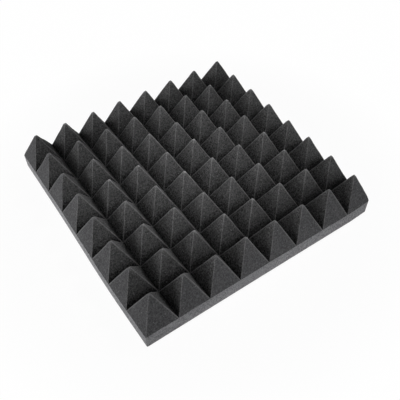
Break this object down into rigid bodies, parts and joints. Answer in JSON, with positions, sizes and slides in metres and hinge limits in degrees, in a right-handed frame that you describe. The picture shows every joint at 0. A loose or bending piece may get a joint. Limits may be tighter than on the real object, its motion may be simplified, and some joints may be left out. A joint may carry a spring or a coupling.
{
  "type": "acoustic foam panel",
  "caption": "Square sound-absorbing foam panel with rows of pyramids cut on a solid base, and a self-adhesive back under a split release liner.",
  "frame": {"origin": "middle of the back of the panel, on the outer face of the release liner", "axes": "+Z out of the wall, from the back towards the pyramids' tips; X and Y along the edges of the square sheet; the slit of the release liner runs along Y"},
  "size_m": [0.5, 0.5, 0.0904],
  "materials": {
    "foam": "open-cell polyurethane foam, charcoal grey, matte cut surface",
    "adhesive": "pressure-sensitive adhesive film, slightly yellow, satin",
    "release_paper": "silicone-coated release paper, cream, satin"
  },
  "bodies": {
    "root": {"foam_panel": "foam", "adhesive_film": "adhesive", "release_liner_left": "release_paper", "release_liner_right": "release_paper"}
  },
  "joints": []
}
